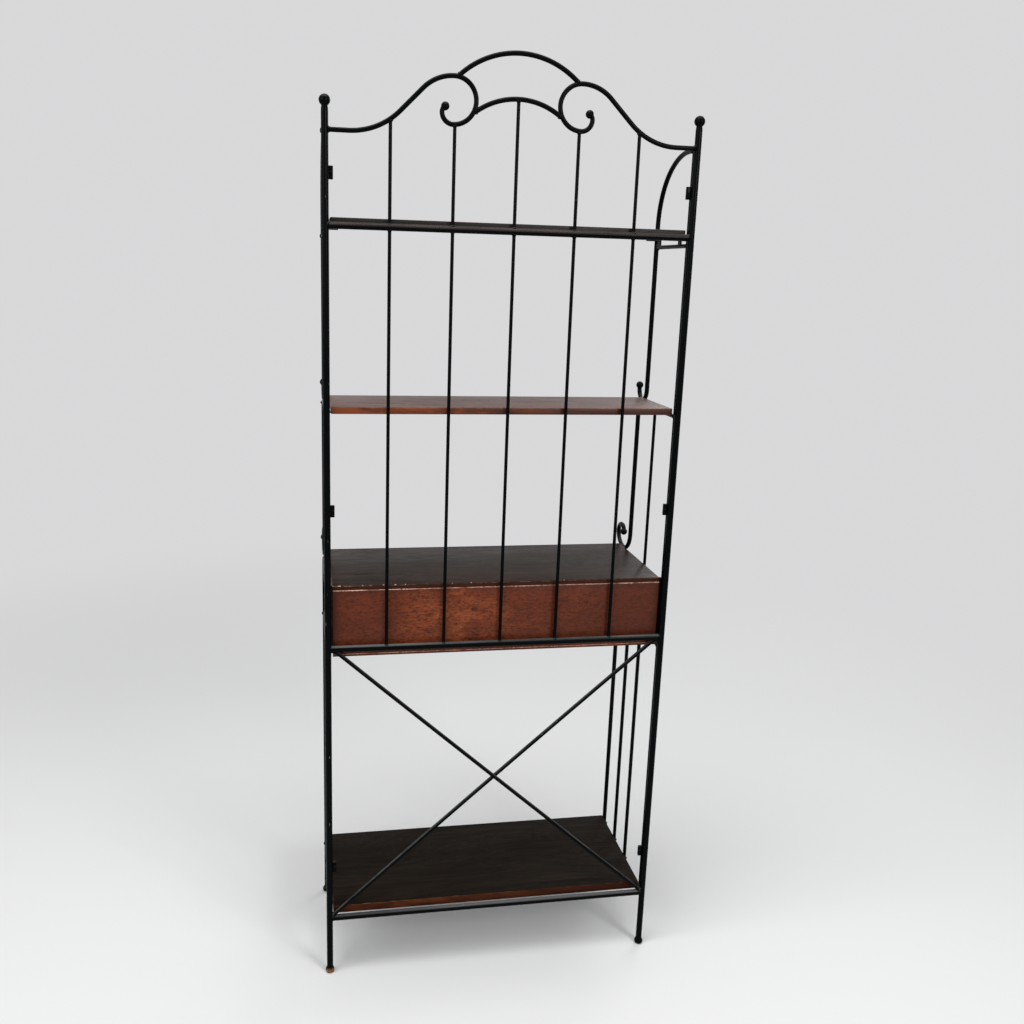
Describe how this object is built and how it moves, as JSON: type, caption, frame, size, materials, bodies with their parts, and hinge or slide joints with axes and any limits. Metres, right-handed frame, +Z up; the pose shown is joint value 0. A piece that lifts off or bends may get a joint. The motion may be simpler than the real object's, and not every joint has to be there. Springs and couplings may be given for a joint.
{
  "type": "bakers rack",
  "caption": "Tall iron shelf rack with an arched scrollwork grille, stepped side frames, wooden shelves and a drawer case at counter height.",
  "frame": {"origin": "on the floor under the middle of the overall box", "axes": "+X across the rack towards the right of someone who faces the drawers, +Y from the drawer fronts to the grille at the back, +Z up"},
  "size_m": [0.695, 0.3222, 1.8116],
  "materials": {
    "iron": "satin black, lightly worn",
    "dark_board": "dark brown satin",
    "red_board": "reddish brown satin",
    "raw_board": "bare"
  },
  "bodies": {
    "rack": {"arch_scroll_left": "iron", "arch_scroll_right": "iron", "back_bar_1": "iron", "back_bar_2": "iron", "back_bar_3": "iron", "back_bar_4": "iron", "back_bar_5": "iron", "base_rail": "iron", "base_shelf": "dark_board", "base_side_rail_left": "iron", "base_side_rail_right": "iron", "brace_falling": "iron", "brace_rising": "iron", "case_back": "red_board", "case_bottom": "red_board", "case_divider": "red_board", "case_end_left": "red_board", "case_end_right": "red_board", "case_side_rail_left": "iron", "case_side_rail_right": "iron", "case_top": "dark_board", "clip_bottom_left": "iron", "clip_bottom_right": "iron", "clip_middle_left": "iron", "clip_middle_right": "iron", "clip_top_left": "iron", "clip_top_right": "iron", "counter_rail": "iron", "crown_arch": "iron", "front_leg_left": "iron", "front_leg_right": "iron", "inner_arch": "iron", "lower_front_rod_left": "iron", "lower_front_rod_right": "iron", "lower_side_bar_1_left": "iron", "lower_side_bar_1_right": "iron", "lower_side_bar_2_left": "iron", "lower_side_bar_2_right": "iron", "middle_shelf": "dark_board", "middle_side_rail_left": "iron", "middle_side_rail_right": "iron", "post_left": "iron", "post_right": "iron", "side_upright_left": "iron", "side_upright_right": "iron", "top_rail": "iron", "top_shelf": "dark_board", "top_side_rail_left": "iron", "top_side_rail_right": "iron", "upper_front_rod_left": "iron", "upper_front_rod_right": "iron", "upper_side_bar_left": "iron", "upper_side_bar_right": "iron"},
    "drawer_left": {"drawer_front_left": "red_board", "drawer_tray_left": "raw_board", "drawer_knob_left": "iron"},
    "drawer_right": {"drawer_front_right": "red_board", "drawer_tray_right": "raw_board", "drawer_knob_right": "iron"}
  },
  "joints": [
    {"name": "drawer_left_slide", "type": "slide", "parent": "rack", "child": "drawer_left", "axis": [0, -1, 0], "range_m": [0, 0.19]},
    {"name": "drawer_right_slide", "type": "slide", "parent": "rack", "child": "drawer_right", "axis": [0, -1, 0], "range_m": [0, 0.19]}
  ]
}
